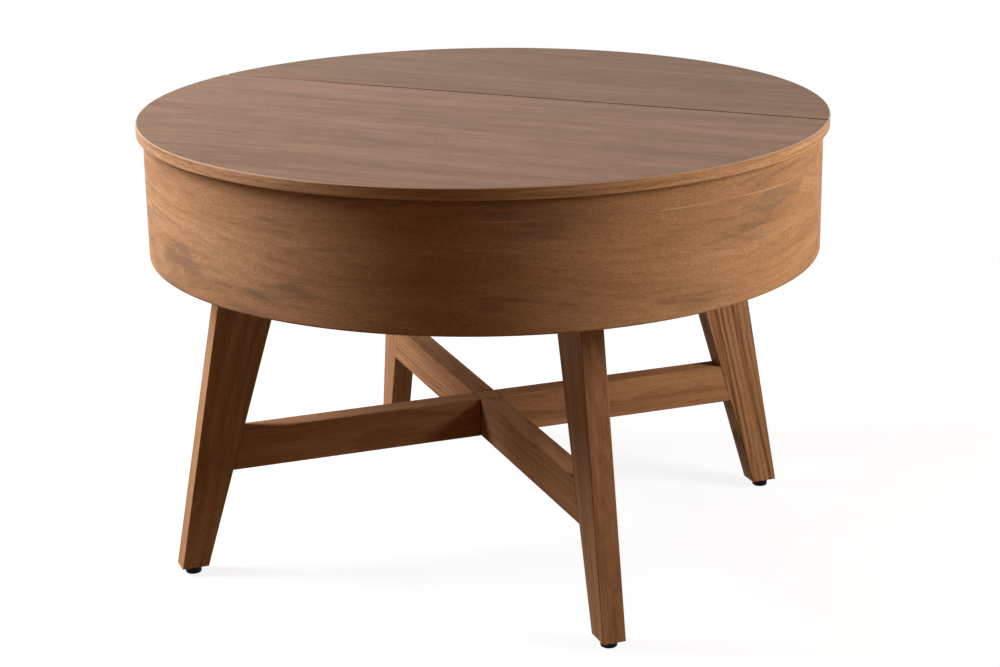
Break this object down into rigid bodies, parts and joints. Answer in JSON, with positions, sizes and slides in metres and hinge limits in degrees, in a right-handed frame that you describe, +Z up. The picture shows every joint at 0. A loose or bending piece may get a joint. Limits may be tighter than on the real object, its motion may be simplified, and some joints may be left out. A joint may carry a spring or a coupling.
{
  "type": "round lift top coffee table",
  "caption": "Round drum coffee table on splayed board legs; the front part of its top rises and comes forward on parallel arms above a storage case.",
  "frame": {"origin": "on the floor, under the middle of the round top", "axes": "+Z up; -Y towards the sitter, whose side of the top lifts; +Y towards the fixed panel; +X to the sitter's right"},
  "size_m": [0.76, 0.7599, 0.497],
  "materials": {
    "walnut_veneer_top": "satin lacquered walnut veneer",
    "walnut_veneer_drum": "satin lacquered walnut veneer on bent ply",
    "solid_walnut": "satin lacquered solid walnut",
    "case_board": "smooth veneered board",
    "beech_dowel": "unfinished fluted dowel",
    "black_painted_steel": "fine satin black powder coat",
    "zinc_plated_steel": "zinc plated",
    "spring_steel": "drawn spring wire",
    "dark_steel_pin": "dark steel brad",
    "brass_insert": "turned brass",
    "black_plastic": "moulded, fine satin",
    "rubber": "matt"
  },
  "bodies": {
    "root": {"fixed_top_panel": "walnut_veneer_top", "drum_wall": "walnut_veneer_drum", "rim_bumpers": "rubber", "drum_floor": "case_board", "right_partition": "case_board", "left_partition": "case_board", "seam_rail": "case_board", "rail_dowels": "beech_dowel", "top_cleats": "case_board", "top_cleat_screws": "zinc_plated_steel", "case_screws": "zinc_plated_steel", "leg_front_left": "solid_walnut", "leg_front_right": "solid_walnut", "leg_rear_right": "solid_walnut", "leg_rear_left": "solid_walnut", "stretcher_lapped_below": "solid_walnut", "stretcher_lapped_above": "solid_walnut", "tenon_pins": "dark_steel_pin", "foot_glides": "black_plastic", "leg_bolts": "zinc_plated_steel", "leg_bolt_washers": "zinc_plated_steel", "leg_inserts": "brass_insert", "side_bracket_screws": "zinc_plated_steel", "lower_pivot_rivets": "zinc_plated_steel", "lower_pivot_washers": "zinc_plated_steel", "stop_studs": "zinc_plated_steel", "stop_sleeves": "rubber", "spring_anchor_pins": "zinc_plated_steel", "right_side_bracket": "black_painted_steel", "left_side_bracket": "black_painted_steel"},
    "rear_arms": {"right_rear_arm": "black_painted_steel", "left_rear_arm": "black_painted_steel", "cross_bar": "black_painted_steel", "spring_lug_pins": "zinc_plated_steel"},
    "right_front_arm": {"right_front_arm": "black_painted_steel"},
    "left_front_arm": {"left_front_arm": "black_painted_steel"},
    "lift_top": {"lift_top_panel": "walnut_veneer_top", "right_top_bracket": "black_painted_steel", "left_top_bracket": "black_painted_steel", "top_bracket_screws": "zinc_plated_steel", "upper_pivot_rivets": "zinc_plated_steel", "upper_pivot_washers": "zinc_plated_steel"},
    "right_spring": {"right_spring": "spring_steel"},
    "left_spring": {"left_spring": "spring_steel"}
  },
  "joints": [
    {"name": "top_lift", "type": "hinge", "parent": "root", "child": "rear_arms", "pos_m": [0, -0.16443, 0.40816], "axis": [1, 0, 0], "range_deg": [0, 110]},
    {"name": "top_level", "type": "hinge", "parent": "rear_arms", "child": "lift_top", "pos_m": [0, 0.055, 0.439], "axis": [1, 0, 0], "range_deg": [-110, 0]},
    {"name": "right_front_arm_swing", "type": "hinge", "parent": "root", "child": "right_front_arm", "pos_m": [0, -0.21789, 0.4354], "axis": [1, 0, 0], "range_deg": [0, 110]},
    {"name": "left_front_arm_swing", "type": "hinge", "parent": "root", "child": "left_front_arm", "pos_m": [0, -0.21789, 0.4354], "axis": [1, 0, 0], "range_deg": [0, 110]},
    {"name": "right_spring_swing", "type": "hinge", "parent": "root", "child": "right_spring", "pos_m": [0, -0.01443, 0.38616], "axis": [1, 0, 0], "range_deg": [-9.14, 0], "deforming": ["right_spring"]},
    {"name": "left_spring_swing", "type": "hinge", "parent": "root", "child": "left_spring", "pos_m": [0, -0.01443, 0.38616], "axis": [1, 0, 0], "range_deg": [-9.14, 0], "deforming": ["left_spring"]}
  ],
  "couplings": [
    {"joint": "top_level", "follows": "top_lift", "ratio": -1},
    {"joint": "right_front_arm_swing", "follows": "top_lift", "ratio": 1},
    {"joint": "left_front_arm_swing", "follows": "top_lift", "ratio": 1},
    {"joint": "right_spring_swing", "follows": "top_lift", "ratio": -0.082996},
    {"joint": "left_spring_swing", "follows": "top_lift", "ratio": -0.082996}
  ]
}
